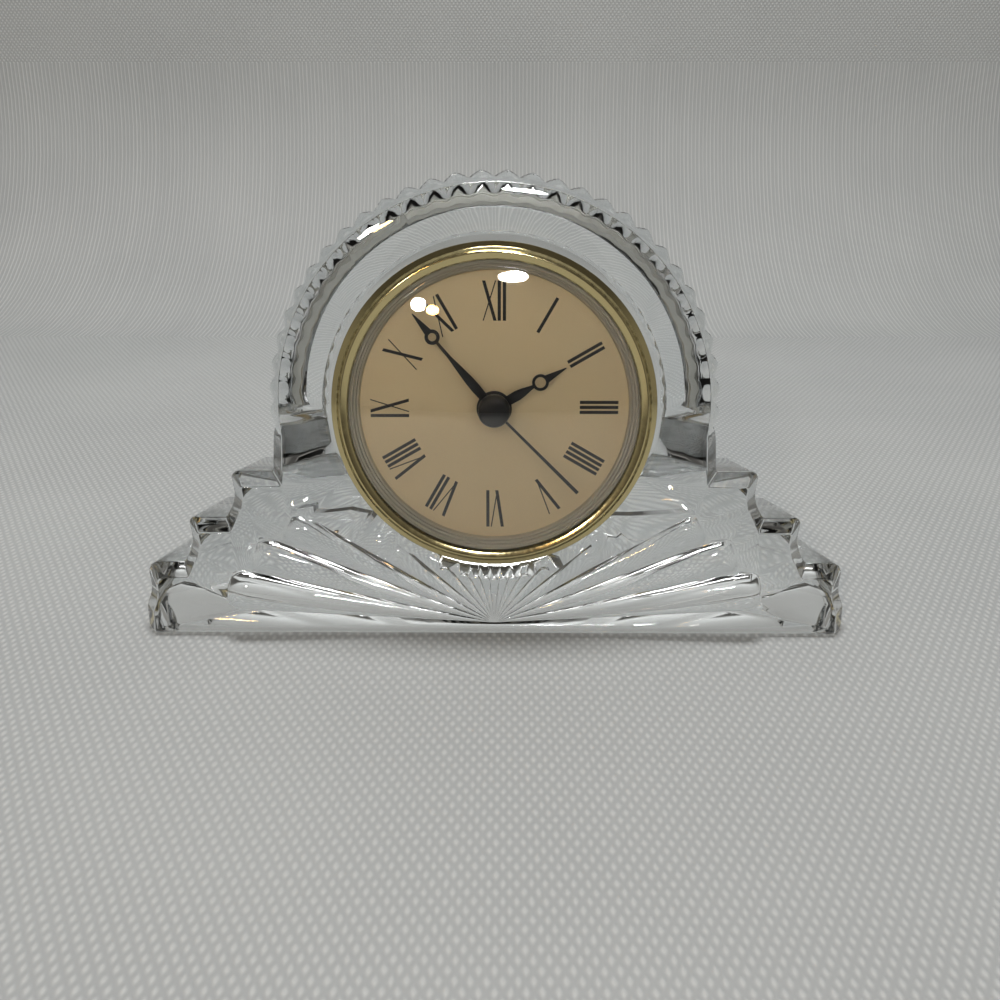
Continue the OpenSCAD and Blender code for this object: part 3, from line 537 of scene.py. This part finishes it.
black_abs = simple("black_abs_moulded", "#1C1C1E", 0.45, bump=0.25, scale=2500)
white_abs = simple("white_abs_moulded", "#D9D7CF", 0.45, bump=0.2, scale=2500)
silicone = simple("silicone_rubber_milky", "#D5D4CC", 0.5)
acetal = simple("acetal_moulded_ivory", "#E4E0D3", 0.4)
nickel = simple("steel_nickel_plated", "#C9C7C2", 0.25, metallic=1.0, bump=0.02)
board_green = simple("glass_epoxy_green", "#2B6A45", 0.4)
copper = simple("copper_wire_enamelled", "#B5683A", 0.3, metallic=1.0, bump=0.1, scale=4000)
magnet = simple("bonded_magnet_grey", "#4A4A4E", 0.5)
cell_sleeve = simple("cell_sleeve_plain", "#B99A55", 0.3, metallic=0.6, bump=0.02)
hidden_pieces = {
    "case_cup": white_abs, "front_plate": black_abs, "setting_knob": black_abs,
    "rubber_band": silicone, "middle_plate": acetal, "rear_plate": acetal,
    "step_wheel": acetal, "seconds_wheel": acetal, "third_wheel": acetal,
    "motion_wheel": acetal, "hour_wheel": acetal, "centre_wheel": brass,
    "minute_pinion": brass, "plate_screws": nickel, "oscillator_can": nickel,
    "stator": nickel, "positive_contact": nickel, "negative_contact": nickel,
    "circuit_board": board_green, "coil": copper, "rotor": magnet, "battery": cell_sleeve}
for name, material in hidden_pieces.items():
    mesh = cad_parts[name].data
    mesh.materials.clear()
    mesh.materials.append(material)
print("CAD pieces with a new material:", len(hidden_pieces))

# %% [markdown]
# ## The stage
# The clock stands on a pale woven cloth that rises behind it. The cloth is one
# surface: a floor, a soft bend and a wall. Its barleycorn weave is drawn by two
# sets of slanting waves that cross, laid out on the cloth's own UV map. Cotton
# is matt, and its threads only show as light and dark cells.

# %% Pale cloth
cloth, tree, shader = new_material("cotton_barleycorn_woven")
CELL = (2.7 * MM, 3.4 * MM)
slant = math.atan2(CELL[0], CELL[1])
pitch = CELL[0] * CELL[1] / math.hypot(*CELL)
place = node(tree, "ShaderNodeTexCoord")
threads = []
for side in (1, -1):
    turn = node(tree, "ShaderNodeMapping", {"Vector": place.outputs["UV"],
                                            "Rotation": (0, 0, side * slant)})
    threads.append(node(tree, "ShaderNodeTexWave", {
        "Vector": turn.outputs[0], "Scale": 2 * math.pi / (20 * pitch),
        "Distortion": 0.9, "Detail": 1.0, "Detail Scale": 1.5}).outputs[1])
weave = node(tree, "ShaderNodeMath", {0: threads[0], 1: threads[1]}, operation="MULTIPLY")
blotch = node(tree, "ShaderNodeTexNoise", {"Vector": place.outputs["Object"], "Scale": 9.0,
                                           "Detail": 2.0})
cloud = node(tree, "ShaderNodeMath", {0: blotch.outputs[0], 1: 0.4, 2: 0.2},
             operation="MULTIPLY_ADD")
mix = node(tree, "ShaderNodeMath", {0: weave.outputs[0], 1: 0.8, 2: cloud.outputs[0]},
           operation="MULTIPLY_ADD")
tone = node(tree, "ShaderNodeMix", {"Factor": mix.outputs[0], 6: linear("#979A9B"),
                                    7: linear("#C3C5C4")}, data_type="RGBA")
relief = node(tree, "ShaderNodeBump", {"Height": weave.outputs[0], "Strength": 0.6,
                                       "Distance": 0.5 * MM})
tree.links.new(tone.outputs[2], shader.inputs["Base Color"])
tree.links.new(relief.outputs[0], shader.inputs["Normal"])
shader.inputs["Roughness"].default_value = 0.9
print("weave pitch", round(pitch / MM, 2), "mm")

# %% The sweep of cloth
FLOOR, FLOOR_MIDDLE = 2.4, -0.85
# A gap under the glass, which must not share a surface with the cloth
AIR_GAP = 0.2 * MM
BEND, BEND_STEPS, WALL = 0.16, 12, 1.3
bpy.ops.object.select_all(action="DESELECT")
bpy.ops.mesh.primitive_plane_add(size=FLOOR, location=(0, FLOOR_MIDDLE, -AIR_GAP))
sweep = bpy.context.object
sweep.name = "cloth_sweep"
bpy.ops.object.mode_set(mode="EDIT")
bpy.ops.mesh.select_all(action="DESELECT")
bpy.ops.object.mode_set(mode="OBJECT")
for edge in sweep.data.edges:
    edge.select = all(sweep.data.vertices[v].co.y > 0 for v in edge.vertices)
bpy.ops.object.mode_set(mode="EDIT")
bpy.ops.mesh.select_mode(type="EDGE")
arc = [math.pi / 2 * k / BEND_STEPS for k in range(BEND_STEPS + 1)]
for a0, a1 in zip(arc, arc[1:]):
    bpy.ops.mesh.extrude_region_move(TRANSFORM_OT_translate={"value": (
        0, BEND * (math.sin(a1) - math.sin(a0)), BEND * (math.cos(a0) - math.cos(a1)))})
bpy.ops.mesh.extrude_region_move(TRANSFORM_OT_translate={"value": (0, 0, WALL)})
bpy.ops.object.mode_set(mode="OBJECT")
bpy.ops.object.shade_smooth_by_angle(angle=math.radians(30))
sweep.data.materials.append(cloth)

# %% The weave's map
# V runs from the front edge of the floor to BEND_V, keeps that value over the
# bend, where the weave shows as upright lines, and goes on up the wall. The
# floor is longer than its share of V, so its cells are a third longer than CELL.
BEND_V = FLOOR / 2 + FLOOR_MIDDLE + BEND * math.pi / 2
weave_map = sweep.data.uv_layers[0]
for loop in sweep.data.loops:
    x, y, z = sweep.data.vertices[loop.vertex_index].co
    v = y if y < 0 else BEND_V + max(0, z - BEND)
    weave_map.data[loop.index].uv = (x, v)
print("cloth", len(sweep.data.polygons), "faces, V at the bend", round(BEND_V, 3))

# %% [markdown]
# ## Light
# A soft light overhead draws the shadow. Three small lamps in front, as in a
# room, light the dial and give the lens its highlights. The world is light
# near the horizon and dark overhead and in front, so that the polished brass
# and the crystal's facets have something light and something dark to show.

# %% Lamps
DIAL = Vector((0, -0.012, 0.075))


def lamp(name, at, size, power, colour="#FFFFFF"):
    """An oval lamp that looks at the dial."""
    bpy.ops.object.light_add(type="AREA", location=at)
    made = bpy.context.object
    made.name = name
    made.data.shape = "ELLIPSE"
    made.data.size, made.data.size_y = size
    made.data.energy = power
    made.data.color = linear(colour)[:3]
    made.rotation_euler = (DIAL - Vector(at)).to_track_quat("-Z", "Y").to_euler()
    print("lamp", name, power, "W")


def ahead(direction, distance):
    """A point that far from the dial in one direction."""
    return DIAL + Vector(direction).normalized() * distance


lamp("overhead", (0, 0.12, 1.15), (0.42, 0.3), 8)
lamp("room_lamp_white", ahead((0.074, -0.833, 0.547), 1.3), (0.175, 0.068), 3.8)
lamp("room_lamp_left", ahead((-0.353, -0.85, 0.427), 1.2), (0.085, 0.075), 2.0, "#FFFAF2")
lamp("room_lamp_warm", ahead((-0.288, -0.87, 0.406), 1.2), (0.072, 0.055), 0.9, "#FFC880")

# %% World
LIGHT_WALLS, DARK_ROOM = linear("#86847F"), linear("#4A4845")
world = bpy.data.worlds.new("studio")
bpy.context.scene.world = world
world.use_nodes = True
tree = world.node_tree
sky = tree.nodes["Background"]
where = node(tree, "ShaderNodeTexCoord")
axes = node(tree, "ShaderNodeSeparateXYZ", {0: where.outputs["Generated"]})
height = node(tree, "ShaderNodeMapRange", {"Value": axes.outputs["Z"], "From Min": 0.3,
              "From Max": 0.62, "To Min": 0.0, "To Max": 1.0})
shade = node(tree, "ShaderNodeMix", {"Factor": height.outputs[0], 6: LIGHT_WALLS,
                                     7: DARK_ROOM}, data_type="RGBA")
front = node(tree, "ShaderNodeMapRange", {"Value": axes.outputs["Y"], "From Min": -0.95,
             "From Max": -0.72, "To Min": 1.0, "To Max": 0.0})
room = node(tree, "ShaderNodeMix", {"Factor": front.outputs[0], 6: shade.outputs[2],
                                    7: DARK_ROOM}, data_type="RGBA")
tree.links.new(room.outputs[2], sky.inputs[0])
sky.inputs[1].default_value = 1.0
bpy.context.scene.view_settings.view_transform = "Standard"
print("world", world.name)
